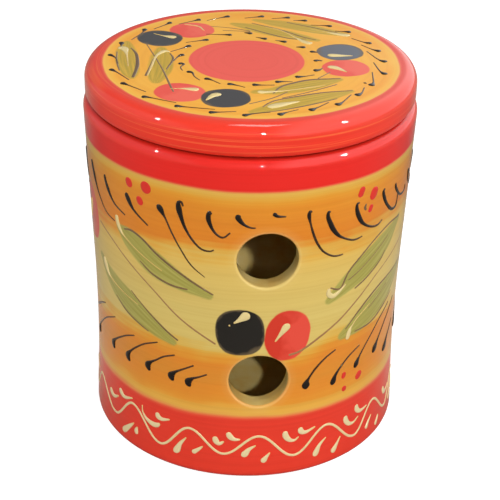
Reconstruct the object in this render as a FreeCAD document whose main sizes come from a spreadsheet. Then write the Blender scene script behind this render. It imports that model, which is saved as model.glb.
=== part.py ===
"""Garlic keeper: a glazed pot with two vent holes, and a loose lid that drops into its mouth.

The part stands on Z = 0 with +Z up, the pot's axis on the Z axis and the vent holes facing -Y.
All lengths are in millimetres and all angles in degrees.
"""
import FreeCAD, Part
import os

import Sketcher

# Driving sizes: name, value, what it measures.
SIZES = [
    ("jar_height", 141.5, "foot to rim; the lid sits on the rim"),
    ("shoulder_radius", 66.0, "outside of the pot at the rim, before its edge is rounded"),
    ("shoulder_slant", 2.2, "lean of the upper wall from upright, in degrees"),
    ("waist_height", 44.0, "height of the slimmest place of the wall"),
    ("waist_curve", 774.0, "radius of the hollow curve of the lower wall"),
    ("wall", 8.0, "thickness of the pot's wall"),
    ("floor_thickness", 8.0, "foot face to the floor inside"),
    ("shoulder_round", 4.0, "rounding of the pot's outer top edge"),
    ("rim_round", 1.5, "rounding of the pot's inner top edge"),
    ("floor_round", 6.0, "rounding where the wall inside meets the floor"),
    ("foot_round", 2.8, "rounding of the pot's bottom edge"),
    ("foot_ring_width", 8.0, "width of the ring that the pot stands on, with its rounding"),
    ("foot_recess", 1.8, "depth of the hollow inside the foot ring"),
    ("vent_radius", 11.6, "radius of a vent hole"),
    ("vent_round", 0.9, "rounding of a vent hole's edges"),
    ("lower_vent_height", 45.9, "foot to the middle of the lower vent hole"),
    ("upper_vent_drop", 41.6, "rim to the middle of the upper vent hole"),
    ("lower_vent_turn", -1.0, "how far the lower vent hole is turned about the pot, in degrees"),
    ("upper_vent_turn", 1.0, "how far the upper vent hole is turned about the pot, in degrees"),
    ("lid_set_in", 1.0, "how far the lid's edge lies inside the pot's"),
    ("lid_thickness", 12.8, "height of the lid's edge"),
    ("lid_top_round", 5.0, "rounding of the lid's top edge"),
    ("lid_under_round", 3.2, "rounding of the lid's lower edge"),
    ("lid_plate", 9.0, "thickness of the lid's middle"),
    ("flange_depth", 7.0, "how far the lid's ring reaches down into the mouth"),
    ("flange_width", 5.0, "thickness of the lid's ring"),
    ("flange_round", 1.6, "rounding of the ring's lower edges"),
    ("mouth_gap", 1.0, "clearance between the lid's ring and the mouth, on each side"),
]

# Sketcher numbers the points of a line, arc or circle from nought, and its own axes from minus one down.
POINT_ORDER = ["edge", "start", "end", "centre"]
AXIS_ORDER = ["level", "upright"]
START, END, CENTRE = (POINT_ORDER.index(word) for word in ("start", "end", "centre"))
ORIGIN, UPRIGHT_AXIS = (~AXIS_ORDER.index(word) for word in ("level", "upright"))
FULL_TURN = 360
MATCH_TOLERANCE = 0.01

doc = FreeCAD.newDocument("garlic_keeper")
sheet = doc.addObject("Spreadsheet::Sheet", "Sizes")
for row, (alias, number, meaning) in enumerate(SIZES, start=1):
    sheet.set(f"A{row}", alias)
    sheet.set(f"B{row}", str(number))
    sheet.set(f"C{row}", meaning)
    sheet.setAlias(f"B{row}", alias)
doc.recompute()


def size(alias):
    """The way a formula names one of the sheet's sizes."""
    return f"Sizes.{alias}"


SLANT = f"{size('shoulder_slant')} * 1 deg"
WALL_AT_RIM = f"{size('wall')} / cos({SLANT})"
MOUTH_RADIUS = f"({size('shoulder_radius')} - {WALL_AT_RIM})"
TANGENT_HEIGHT = f"({size('waist_height')} + {size('waist_curve')} * sin({SLANT}))"
TANGENT_RADIUS = (
    f"({size('shoulder_radius')} - ({size('jar_height')} - {TANGENT_HEIGHT}) * tan({SLANT}))"
)
CURVE_CENTRE_RADIUS = f"({TANGENT_RADIUS} + {size('waist_curve')} * cos({SLANT}))"
LID_RADIUS = f"({size('shoulder_radius')} - {size('lid_set_in')})"
FLANGE_RADIUS = (
    f"({MOUTH_RADIUS} - {size('flange_depth')} * tan({SLANT}) - {size('mouth_gap')})"
)
UPPER_VENT_HEIGHT = f"{size('jar_height')} - {size('upper_vent_drop')}"


def worked_out(formula):
    """The number that a formula on the sheet's sizes gives."""
    answer = sheet.evalExpression(formula)
    return float(getattr(answer, "Value", answer))


def new_body(label):
    """A body with its own name, standing at the part's origin."""
    body = doc.addObject("PartDesign::Body", f"{label}_body")
    body.Label = label
    body.Placement = FreeCAD.Placement()
    return body


def sketch_on(body, role, name):
    """An empty sketch on one of the body's own planes."""
    plane = next(item for item in body.Origin.OriginFeatures if item.Role == role)
    sketch = body.newObject("Sketcher::SketchObject", name)
    sketch.AttachmentSupport = (plane, "")
    sketch.MapMode = "FlatFace"
    return sketch


def hold(sketch, kind, geometry, point, formula):
    """Ties one coordinate of a sketch point to a formula."""
    index = sketch.addConstraint(
        Sketcher.Constraint(kind, ORIGIN, START, geometry, point, worked_out(formula))
    )
    sketch.setExpression(f"Constraints[{index}]", formula)


def ring_profile(sketch, corners):
    """A closed outline of straight lines through corners given as (radius, height) formulas."""
    places = [FreeCAD.Vector(worked_out(across), worked_out(up), 0) for across, up in corners]
    for number, place in enumerate(places):
        sketch.addGeometry(Part.LineSegment(place, places[(number + 1) % len(places)]), False)
    for number, (across, up) in enumerate(corners):
        previous = (number - 1) % len(corners)
        sketch.addConstraint(Sketcher.Constraint("Coincident", previous, END, number, START))
        hold(sketch, "DistanceX", number, START, across)
        hold(sketch, "DistanceY", number, START, up)


def wall_profile(sketch, inset, bottom):
    """The pot's side, set in by a distance, closed along the axis from the bottom to the rim.

    The lower wall is an arc that bulges towards the axis; the upper wall is its tangent.
    """
    reach = f"({size('waist_curve')} + {inset})"
    centre_up = size("waist_height")
    tangent_across = f"({CURVE_CENTRE_RADIUS} - {reach} * cos({SLANT}))"
    tangent_up = f"({centre_up} + {reach} * sin({SLANT}))"
    bottom_across = f"({CURVE_CENTRE_RADIUS} - sqrt({reach}^2 - ({centre_up} - {bottom})^2))"
    rim_across = f"({size('shoulder_radius')} - {inset} / cos({SLANT}))"

    def place(across, up):
        return FreeCAD.Vector(worked_out(across), worked_out(up), 0)

    base_start = place("0", bottom)
    base_end = place(bottom_across, bottom)
    side_start = place(tangent_across, tangent_up)
    rim_corner = place(rim_across, size("jar_height"))
    rim_middle = place("0", size("jar_height"))
    waist = place(f"{CURVE_CENTRE_RADIUS} - {reach}", centre_up)
    arc = Part.Arc(base_end, waist, side_start)

    sketch.addGeometry(Part.LineSegment(base_start, base_end), False)
    sketch.addGeometry(arc, False)
    sketch.addGeometry(Part.LineSegment(side_start, rim_corner), False)
    sketch.addGeometry(Part.LineSegment(rim_corner, rim_middle), False)
    sketch.addGeometry(Part.LineSegment(rim_middle, base_start), False)
    base, curve, side, rim, axis = range(5)
    # An arc runs anticlockwise from its start, so this one starts at the upper wall.
    for first, first_end, second, second_end in [
        (base, END, curve, END),
        (curve, START, side, START),
        (side, END, rim, START),
        (rim, END, axis, START),
        (axis, END, base, START),
    ]:
        sketch.addConstraint(Sketcher.Constraint("Coincident", first, first_end, second, second_end))
    hold(sketch, "DistanceX", base, START, "0")
    hold(sketch, "DistanceY", base, START, bottom)
    hold(sketch, "DistanceY", curve, END, bottom)
    hold(sketch, "DistanceX", curve, CENTRE, CURVE_CENTRE_RADIUS)
    hold(sketch, "DistanceY", curve, CENTRE, centre_up)
    hold(sketch, "DistanceX", side, START, tangent_across)
    hold(sketch, "DistanceY", side, START, tangent_up)
    hold(sketch, "DistanceX", rim, START, rim_across)
    hold(sketch, "DistanceY", rim, START, size("jar_height"))
    hold(sketch, "DistanceX", rim, END, "0")
    hold(sketch, "DistanceY", rim, END, size("jar_height"))


def turned(body, kind, sketch, name):
    """A Revolution or Groove of the sketch all the way round the Z axis."""
    feature = body.newObject(f"PartDesign::{kind}", name)
    feature.Profile = sketch
    feature.ReferenceAxis = (sketch, ["V_Axis"])
    feature.Angle = FULL_TURN
    body.Tip = feature
    doc.recompute()
    return feature


def round_edges(body, name, radius, wanted):
    """Rounds the edges of the body's tip that the test picks out."""
    before = body.Tip
    picked = [f"Edge{number}" for number, edge in enumerate(before.Shape.Edges, start=1) if wanted(edge)]
    if not picked:
        raise RuntimeError(f"{name}: no edge to round")
    feature = body.newObject("PartDesign::Fillet", name)
    feature.Base = (before, picked)
    feature.setExpression("Radius", size(radius))
    body.Tip = feature
    doc.recompute()
    return feature


def circle_at(radius, height):
    """A test for level circles about the Z axis with a radius and a height given as formulas."""
    target_radius, target_height = worked_out(radius), worked_out(height)

    def test(edge):
        if not isinstance(edge.Curve, Part.Circle):
            return False
        centre = edge.Curve.Center
        return (
            abs(edge.Curve.Radius - target_radius) < MATCH_TOLERANCE
            and abs(centre.z - target_height) < MATCH_TOLERANCE
            and abs(centre.x) + abs(centre.y) < MATCH_TOLERANCE
        )

    return test


def punch_vent(body, name, height, turn):
    """A round hole through the front wall only, square to the pot's axis."""
    sketch = sketch_on(body, "XZ_Plane", f"{name}_outline")
    sketch.AttachmentOffset = FreeCAD.Placement(
        FreeCAD.Vector(), FreeCAD.Rotation(FreeCAD.Vector(0, 1, 0), worked_out(turn))
    )
    sketch.setExpression("AttachmentOffset.Rotation.Angle", f"{turn} * 1 deg")
    middle = FreeCAD.Vector(0, worked_out(height), 0)
    sketch.addGeometry(
        Part.Circle(middle, FreeCAD.Vector(0, 0, 1), worked_out(size("vent_radius"))), False
    )
    sketch.addConstraint(Sketcher.Constraint("PointOnObject", 0, CENTRE, UPRIGHT_AXIS))
    hold(sketch, "DistanceY", 0, CENTRE, height)
    radius_index = sketch.addConstraint(
        Sketcher.Constraint("Radius", 0, worked_out(size("vent_radius")))
    )
    sketch.setExpression(f"Constraints[{radius_index}]", size("vent_radius"))
    doc.recompute()
    volume_before = body.Tip.Shape.Volume
    pocket = body.newObject("PartDesign::Pocket", name)
    pocket.Profile = sketch
    pocket.Type = "Length"
    pocket.setExpression("Length", f"{size('shoulder_radius')} * 2")
    pocket.Reversed = True
    body.Tip = pocket
    doc.recompute()
    if not pocket.Shape.Volume < volume_before:
        raise RuntimeError(f"{name}: the hole cut nothing")
    return pocket


def is_vent_edge(edge):
    """True for the closed loops where a vent hole meets the wall's inner or outer face.

    Seen along the hole, such a loop is as tall and as wide as the hole. The shares below leave room for
    the hole's small turn and for how loosely the loop's box is measured.
    """
    height_share, width_share = 0.02, 0.1
    box = edge.BoundBox
    across = 2 * worked_out(size("vent_radius"))
    as_tall = abs(box.ZLength - across) < across * height_share
    as_wide = abs(box.XLength - across) < across * width_share
    return as_tall and as_wide


def build_jar():
    """The pot: a turned wall and floor, a foot ring, rounded edges and two vent holes."""
    body = new_body("jar")
    outline = sketch_on(body, "XZ_Plane", "jar_outline")
    wall_profile(outline, "0", "0")
    turned(body, "Revolution", outline, "jar_blank")

    foot_radius = (
        f"({CURVE_CENTRE_RADIUS} - sqrt({size('waist_curve')}^2 - {size('waist_height')}^2))"
    )
    round_edges(body, "foot_edge", "foot_round", circle_at(foot_radius, "0"))
    round_edges(
        body, "shoulder_edge", "shoulder_round", circle_at(size("shoulder_radius"), size("jar_height"))
    )

    hollow = sketch_on(body, "XZ_Plane", "hollow_outline")
    wall_profile(hollow, size("wall"), size("floor_thickness"))
    turned(body, "Groove", hollow, "hollow")
    inner_foot_radius = (
        f"({CURVE_CENTRE_RADIUS} - sqrt(({size('waist_curve')} + {size('wall')})^2"
        f" - ({size('waist_height')} - {size('floor_thickness')})^2))"
    )
    round_edges(
        body, "floor_corner", "floor_round", circle_at(inner_foot_radius, size("floor_thickness"))
    )
    round_edges(body, "rim_edge", "rim_round", circle_at(MOUTH_RADIUS, size("jar_height")))

    recess = sketch_on(body, "XZ_Plane", "recess_outline")
    recess_radius = f"({foot_radius} - {size('foot_ring_width')})"
    ring_profile(
        recess,
        [
            ("0", "0"),
            (recess_radius, "0"),
            (f"{recess_radius} - {size('foot_recess')}", size("foot_recess")),
            ("0", size("foot_recess")),
        ],
    )
    turned(body, "Groove", recess, "foot_hollow")

    punch_vent(body, "lower_vent", size("lower_vent_height"), size("lower_vent_turn"))
    punch_vent(body, "upper_vent", UPPER_VENT_HEIGHT, size("upper_vent_turn"))
    round_edges(body, "vent_edges", "vent_round", is_vent_edge)
    return body


def build_lid():
    """The lid: a thick round plate with soft edges and a ring that drops into the pot's mouth."""
    body = new_body("lid")
    seat = size("jar_height")
    top = f"({seat} + {size('lid_thickness')})"
    ring_bottom = f"({seat} - {size('flange_depth')})"
    ceiling = f"({top} - {size('lid_plate')})"
    ring_inside = f"({FLANGE_RADIUS} - {size('flange_width')})"
    outline = sketch_on(body, "XZ_Plane", "lid_outline")
    ring_profile(
        outline,
        [
            ("0", ceiling),
            (ring_inside, ceiling),
            (ring_inside, ring_bottom),
            (FLANGE_RADIUS, ring_bottom),
            (FLANGE_RADIUS, seat),
            (LID_RADIUS, seat),
            (LID_RADIUS, top),
            ("0", top),
        ],
    )
    turned(body, "Revolution", outline, "lid_blank")
    round_edges(body, "top_edge", "lid_top_round", circle_at(LID_RADIUS, top))
    round_edges(body, "under_edge", "lid_under_round", circle_at(LID_RADIUS, seat))
    outer_tip = circle_at(FLANGE_RADIUS, ring_bottom)
    inner_tip = circle_at(ring_inside, ring_bottom)
    round_edges(body, "ring_edges", "flange_round", lambda edge: outer_tip(edge) or inner_tip(edge))
    return body


bodies = [build_jar(), build_lid()]
doc.recompute()

for item in doc.Objects:
    if "Invalid" in item.State or "Error" in item.State:
        raise RuntimeError(f"{item.Label} failed: {item.State}")
for body in bodies:
    if body.Shape.isNull() or not body.Shape.isValid() or len(body.Shape.Solids) != 1:
        raise RuntimeError(f"{body.Label} is not one sound solid")

os.makedirs("parts", exist_ok=True)
for body in bodies:
    box = body.Shape.optimalBoundingBox()
    print(f"{body.Label}: {body.Shape.Volume / 1000:.1f} cm3, radius {box.XMax:.2f}, "
          f"from {box.ZMin:.2f} to {box.ZMax:.2f} mm")
    body.Shape.exportStep(f"parts/{body.Label}.step")
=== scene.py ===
"""The finished look of the garlic keeper: a hand-painted earthenware pot with two vents and a loose lid.

Sizes are in millimetres here and become metres when a mesh is made. A place on the pot's wall is
given as degrees round the pot (0 at the front, growing to the right) and height; a place on the lid's
top is given as x and y. A painted or raised mark is a list of (place, place, half width).
"""

import math

import bpy
import numpy as np
from mathutils import Matrix, Vector


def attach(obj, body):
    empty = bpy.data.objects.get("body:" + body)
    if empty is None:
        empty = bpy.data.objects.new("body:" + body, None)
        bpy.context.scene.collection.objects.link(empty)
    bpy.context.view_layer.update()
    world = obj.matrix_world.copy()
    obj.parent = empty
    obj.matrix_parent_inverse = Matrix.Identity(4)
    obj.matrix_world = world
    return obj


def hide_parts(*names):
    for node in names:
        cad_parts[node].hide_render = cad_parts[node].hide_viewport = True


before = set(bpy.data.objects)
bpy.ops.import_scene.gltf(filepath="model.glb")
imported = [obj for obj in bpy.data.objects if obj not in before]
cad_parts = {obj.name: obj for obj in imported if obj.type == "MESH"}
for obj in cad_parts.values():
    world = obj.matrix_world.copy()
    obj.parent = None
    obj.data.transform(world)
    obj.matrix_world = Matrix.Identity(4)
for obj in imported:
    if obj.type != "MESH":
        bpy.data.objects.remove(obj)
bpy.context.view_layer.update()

MM = 0.001
COLUMNS = 360

# The pot's sizes, as in the CAD.
RIM_HEIGHT, SHOULDER_RADIUS, SLANT, WALL = 141.5, 66.0, math.radians(2.2), 8.0
WAIST_HEIGHT, WAIST_CURVE = 44.0, 774.0
TANGENT_HEIGHT = WAIST_HEIGHT + WAIST_CURVE * math.sin(SLANT)
TANGENT_RADIUS = SHOULDER_RADIUS - (RIM_HEIGHT - TANGENT_HEIGHT) * math.tan(SLANT)
CURVE_CENTRE = TANGENT_RADIUS + WAIST_CURVE * math.cos(SLANT)
SHOULDER_ROUND, MOUTH_ROUND, FLOOR_ROUND, FOOT_ROUND = 4.0, 1.5, 6.0, 2.8
FLOOR_HEIGHT, FOOT_RING, FOOT_RECESS = 8.0, 8.0, 1.8
VENTS = [(-1.0, 45.9), (1.0, 99.9)]
VENT_RADIUS, VENT_ROUND = 11.6, 0.9
# The lid's sizes, as in the CAD.
LID_RADIUS, LID_TOP, LID_TOP_ROUND, LID_UNDER_ROUND = 65.0, 154.3, 5.0, 3.2
LID_CEILING, RING_BOTTOM, RING_OUTER, RING_INNER, RING_ROUND = 145.3, 134.5, 56.72, 51.72, 1.6
# The photograph's view: the camera's place and lens in millimetres, and its heading right of +Y, tilt down
# and roll in degrees.
CAMERA_PLACE, LENS, SENSOR = (-55.31, -517.53, 352.31), 101.8, 36.0
HEADING, TILT, ROLL = 6.23, 28.47, 1.285
# One radian of the wall is laid out flat as this many millimetres.
ARC = 63.5
# The depth in millimetres that stands for a place outside every painted shape.
OUTSIDE = -9.0
# A painter's slips when the front's marks are made again behind: degrees and millimetres.
TURN_SLIP, HEIGHT_SLIP = 0.6, 0.5

rng = np.random.default_rng(7)


def linear(code):
    """An sRGB hex colour as linear red, green, blue and alpha."""
    parts = [int(code[k:k + 2], 16) / 255 for k in (1, 3, 5)]
    return tuple(c / 12.92 if c <= 0.04045 else ((c + 0.055) / 1.055) ** 2.4 for c in parts) + (1.0,)


def add_node(tree, kind, inputs=(), stops=None, **settings):
    """Adds a node, sets its properties and gives each input a value or a link; stops fill a ramp."""
    node = tree.nodes.new(kind)
    for name, value in settings.items():
        setattr(node, name, value)
    for socket, value in dict(inputs).items():
        if isinstance(value, bpy.types.NodeSocket):
            tree.links.new(value, node.inputs[socket])
        else:
            node.inputs[socket].default_value = value
    for number, (place, colour) in enumerate(stops or []):
        points = node.color_ramp.elements
        point = points[number] if number < 2 else points.new(place)
        point.position = place
        point.color = linear(colour) if isinstance(colour, str) else (colour, colour, colour, 1.0)
    return node


def maths(tree, operation, *values):
    """The result of one sum on values or links."""
    return add_node(tree, "ShaderNodeMath", enumerate(values), operation=operation).outputs[0]


def spread(tree, value, low, high, start=0.0, end=1.0, **settings):
    """The value's range from low to high laid over start to end, which hold outside it."""
    return add_node(tree, "ShaderNodeMapRange", {0: value, 1: low, 2: high, 3: start, 4: end},
                    **settings).outputs[0]


def noise(tree, place, scale, detail):
    """Cloudy noise about 0.5, with so many waves to one unit of the place."""
    return add_node(tree, "ShaderNodeTexNoise",
                    {"Vector": place, "Scale": scale, "Detail": detail}).outputs["Fac"]


def ramp(tree, value, stops):
    """A colour read off a ramp of (place, colour) stops; the ramp's two own stops come first."""
    return add_node(tree, "ShaderNodeValToRGB", {0: value}, stops=stops).outputs[0]


def stretched(tree, place, scale):
    """A place times a scale on each axis."""
    return add_node(tree, "ShaderNodeMapping", {0: place, 3: scale}).outputs[0]


def held(tree, label):
    """The value that the mesh holds at each point under a label."""
    return add_node(tree, "ShaderNodeAttribute", attribute_name=label).outputs["Fac"]


def own_place(tree):
    """The place on the object itself, in metres."""
    return add_node(tree, "ShaderNodeTexCoord").outputs["Object"]


def from_axis(tree, place):
    """A place parted into X, Y and Z, its X and Y as one place, and its distance from the axis."""
    parts = add_node(tree, "ShaderNodeSeparateXYZ", {0: place})
    flat = add_node(tree, "ShaderNodeCombineXYZ",
                    {0: parts.outputs["X"], 1: parts.outputs["Y"], 2: 0.0}).outputs[0]
    return parts, flat, add_node(tree, "ShaderNodeVectorMath", {0: flat}, operation="LENGTH").outputs["Value"]


def new_material(name):
    """An empty material with its shader and output; returns the material, its nodes and its shader."""
    material = bpy.data.materials.new(name)
    material.use_nodes = True
    tree = material.node_tree
    tree.nodes.clear()
    shader = add_node(tree, "ShaderNodeBsdfPrincipled")
    add_node(tree, "ShaderNodeOutputMaterial", {"Surface": shader.outputs["BSDF"]})
    return material, tree, shader


def wall_radius(height, inset=0.0):
    """Radius of the wall at a height: a hollow arc, then its tangent, the straight upper wall."""
    height = np.asarray(height, float)
    reach = WAIST_CURVE + inset
    meets = WAIST_HEIGHT + reach * math.sin(SLANT)
    curved = CURVE_CENTRE - np.sqrt(reach ** 2 - (np.minimum(height, meets) - WAIST_HEIGHT) ** 2)
    straight = SHOULDER_RADIUS - inset / math.cos(SLANT) - (RIM_HEIGHT - height) * math.tan(SLANT)
    return np.where(height < meets, curved, straight)


def bend(centre, reach, start, end, steps):
    """Points (radius, height) of an elliptic arc about a centre, from one angle to another in degrees."""
    angle = np.radians(np.linspace(start, end, steps))
    return np.stack([centre[0] + reach[0] * np.cos(angle), centre[1] + reach[1] * np.sin(angle)], 1)


def run(start, end, steps):
    """Evenly spaced points (radius, height) of a straight line, without its first point."""
    share = np.linspace(0, 1, steps + 1)[1:, None]
    return np.asarray(start, float) * (1 - share) + np.asarray(end, float) * share


def turned(profile):
    """Each profile point carried round the axis: (r sin a, -r cos a, z) for every column's angle a."""
    angle = np.arange(COLUMNS) * 2 * np.pi / COLUMNS
    radius, height = profile[:, :1], profile[:, 1:]
    return np.stack([radius * np.sin(angle), -radius * np.cos(angle), height + 0 * angle], -1)


def closed_turning(profile):
    """Points and faces of a profile that starts and ends on the axis: rings of quads and two fans.

    Returns the points, with the two poles last, the quads as (row, column, 4) and the fans.
    """
    rings = turned(profile[1:-1])
    rows = len(rings)
    poles = np.array([[0, 0, profile[0, 1]], [0, 0, profile[-1, 1]]])
    points = np.vstack([rings.reshape(-1, 3), poles])
    number = np.arange(rows * COLUMNS).reshape(rows, COLUMNS)
    after = np.roll(number, -1, axis=1)
    quads = np.stack([number[:-1], after[:-1], after[1:], number[1:]], -1)
    first, last = rows * COLUMNS, rows * COLUMNS + 1
    fans = [np.stack([np.full(COLUMNS, first), after[0], number[0]], 1),
            np.stack([number[-1], after[-1], np.full(COLUMNS, last)], 1)]
    return points, quads, fans


def ring_quads(outer, inner):
    """Quads between two closed rings of as many points each, both given as point numbers."""
    return np.stack([outer, np.roll(outer, -1), np.roll(inner, -1), inner], 1)


def make_piece(name, body, points, faces, materials, finish=None, values=None):
    """A smooth mesh piece from points in millimetres that rides on a body."""
    mesh = bpy.data.meshes.new(name)
    mesh.from_pydata((points * MM).tolist(), [], [f for part in faces for f in part.tolist()])
    for material in materials:
        mesh.materials.append(material)
    if finish is not None:
        mesh.polygons.foreach_set("material_index", np.asarray(finish, np.int32))
    for label, numbers in (values or {}).items():
        layer = mesh.attributes.new(label, "FLOAT", "POINT")
        layer.data.foreach_set("value", np.asarray(numbers, np.float32))
    mesh.polygons.foreach_set("use_smooth", np.ones(len(mesh.polygons), bool))
    mesh.update()
    piece = bpy.data.objects.new(name, mesh)
    bpy.context.scene.collection.objects.link(piece)
    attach(piece, body)
    return piece


def smooth_path(points, samples):
    """A Catmull-Rom curve through the points, sampled more closely near its two ends."""
    points = np.asarray(points, float)
    padded = np.vstack([2 * points[0] - points[1], points, 2 * points[-1] - points[-2]])
    spans = len(points) - 1
    place = (1 - np.cos(np.linspace(0, np.pi, samples))) / 2 * spans
    part = np.minimum(place.astype(int), spans - 1)
    t = (place - part)[:, None]
    a, b, c, d = (padded[part + k] for k in range(4))
    return 0.5 * (2 * b + (c - a) * t + (2 * a - 5 * b + 4 * c - d) * t ** 2
                  + (3 * b - a - 3 * c + d) * t ** 3)


def laid_flat(marks):
    """Marks on the wall with their degrees turned to millimetres round it."""
    return [[(math.radians(turn) * ARC, height, half) for turn, height, half in mark] for mark in marks]


def on_wall(flat, lift):
    """Places on the wall, laid out flat, lifted off it by some millimetres."""
    angle = flat[..., 0] / ARC
    radius = wall_radius(flat[..., 1]) + lift
    return np.stack([radius * np.sin(angle), -radius * np.cos(angle), flat[..., 1]], -1)


def on_lid(flat, lift):
    """Places on the lid's flat top, lifted off it by some millimetres."""
    return np.stack([flat[..., 0], flat[..., 1], LID_TOP + lift], -1)


def raised_marks(name, body, marks, surface, material, rise, samples=34, pressed=False):
    """Strokes of raised slip: a lens-shaped section carried along each mark's path.

    The section's top is half an ellipse that rises with its width and flattens out at the full rise;
    its underside is sunk into the glaze. Both ends close round, as a drop does. A pressed mark starts
    as a blob of its first half width h and is drawn out thin: t + (h - t) exp(-(s / 2.3)^2) after s mm.
    """
    points, faces, loads, count = [], [], [], 0
    over, sunk, thinnest = 7, 0.3, 0.06
    section = over + 2
    around = np.linspace(0, np.pi, over)
    across = np.concatenate([np.cos(around), [-0.6, 0.6]])
    up = np.concatenate([np.sin(around) ** 0.9, [0, 0]])
    under = np.array([0.0] * over + [sunk, sunk])
    for mark in marks:
        line = smooth_path(mark, samples)
        middle, half = line[:, :2], np.maximum(line[:, 2], thinnest)
        ahead = np.gradient(middle, axis=0)
        ahead /= np.linalg.norm(ahead, axis=1, keepdims=True)
        side = np.stack([-ahead[:, 1], ahead[:, 0]], 1)
        gone = np.concatenate([[0], np.cumsum(np.linalg.norm(np.diff(middle, axis=0), axis=1))])
        if pressed:
            thin = 0.36 - 0.12 * gone / gone[-1]
            half = thin + (1.25 * half[0] - thin) * np.exp(-(gone / 2.3) ** 2)
        closing = np.ones(samples)
        for way, tip in ((gone, half[0]), (gone[-1] - gone, half[-1])):
            closing *= np.sqrt(1 - (1 - np.clip(way / tip, 0, 1)) ** 2)
        half = half * closing
        lift = rise * (1 - np.exp(-half / 0.7))
        flat = middle[1:-1, None] + side[1:-1, None] * (half[1:-1, None] * across)[..., None]
        heights = lift[1:-1, None] * up - under
        ends = surface(middle[[0, -1]], np.zeros(2))
        points.append(np.vstack([surface(flat, heights).reshape(-1, 3), ends]))
        number = count + np.arange((samples - 2) * section).reshape(samples - 2, section)
        beside = np.roll(number, -1, axis=1)
        first = count + number.size
        faces.append(np.stack([number[:-1], beside[:-1], beside[1:], number[1:]], -1).reshape(-1, 4))
        faces.append(np.stack([np.full(section, first), beside[0], number[0]], 1))
        faces.append(np.stack([number[-1], beside[-1], np.full(section, first + 1)], 1))
        load = np.clip(half[1:-1] / 0.9, 0, 1)
        loads.append(np.concatenate([np.repeat(load, section), load[[0, -1]]]))
        count += number.size + 2
    return make_piece(name, body, np.vstack(points), faces, [material],
                      values={"slip_load": np.concatenate(loads)})


def brushed(flat, marks, wrap=None):
    """How far inside the nearest brushed shape each place lies, and where along and across it.

    A shape is the union of discs whose centres follow the mark's path and whose radii are its half widths.
    """
    samples, reach = 48, 45.0
    inside = np.full(len(flat), OUTSIDE)
    along, across = np.zeros(len(flat)), np.zeros(len(flat))
    for mark in marks:
        line = smooth_path(mark, samples)
        centre = line[samples // 2, :2]
        ahead = np.gradient(line[:, :2], axis=0)
        ahead /= np.linalg.norm(ahead, axis=1, keepdims=True)
        offset = flat - centre
        if wrap:
            offset[:, 0] = (offset[:, 0] + wrap / 2) % wrap - wrap / 2
        near = np.flatnonzero(np.hypot(offset[:, 0], offset[:, 1]) < reach)
        gap = offset[near, None] + centre - line[None, :, :2]
        depth = line[:, 2] - np.hypot(gap[..., 0], gap[..., 1])
        best = depth.argmax(1)
        row = np.arange(len(near))
        better = depth[row, best] > inside[near]
        chosen, best, row = near[better], best[better], row[better]
        inside[chosen] = depth[row, best]
        along[chosen] = best / (samples - 1)
        turn = ahead[best]
        here = gap[row, best]
        across[chosen] = (turn[:, 0] * here[:, 1] - turn[:, 1] * here[:, 0]) / np.maximum(line[best, 2], 0.5)
    return inside, along, across


def dabbed(flat, ovals, wrap=None):
    """How far inside the nearest oval each place lies, in millimetres; returns also the place across it.

    An oval is the curve |u|^n + |v|^n = 1 on its own leaning axes, so n above 2 squares it off a little.
    """
    inside, across = np.full(len(flat), OUTSIDE), np.zeros(len(flat))
    for x, y, half_width, half_height, lean, square in ovals:
        offset = flat - (x, y)
        if wrap:
            offset[:, 0] = (offset[:, 0] + wrap / 2) % wrap - wrap / 2
        c, s = math.cos(math.radians(lean)), math.sin(math.radians(lean))
        u = (offset[:, 0] * c + offset[:, 1] * s) / half_width
        v = (offset[:, 1] * c - offset[:, 0] * s) / half_height
        depth = (1 - (np.abs(u) ** square + np.abs(v) ** square) ** (1 / square)) * min(half_width,
                                                                                        half_height)
        across = np.where(depth > inside, u, across)
        inside = np.maximum(inside, depth)
    return inside, across


def both_halves(marks):
    """The marks of the front half, and the same again half a turn on with a painter's small slips."""
    again = []
    for mark in marks:
        turn_slip, height_slip = rng.normal(0, TURN_SLIP), rng.normal(0, HEIGHT_SLIP)
        again.append([(turn + 180 + turn_slip, height + height_slip, *rest) for turn, height, *rest in mark])
    return marks + again


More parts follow.
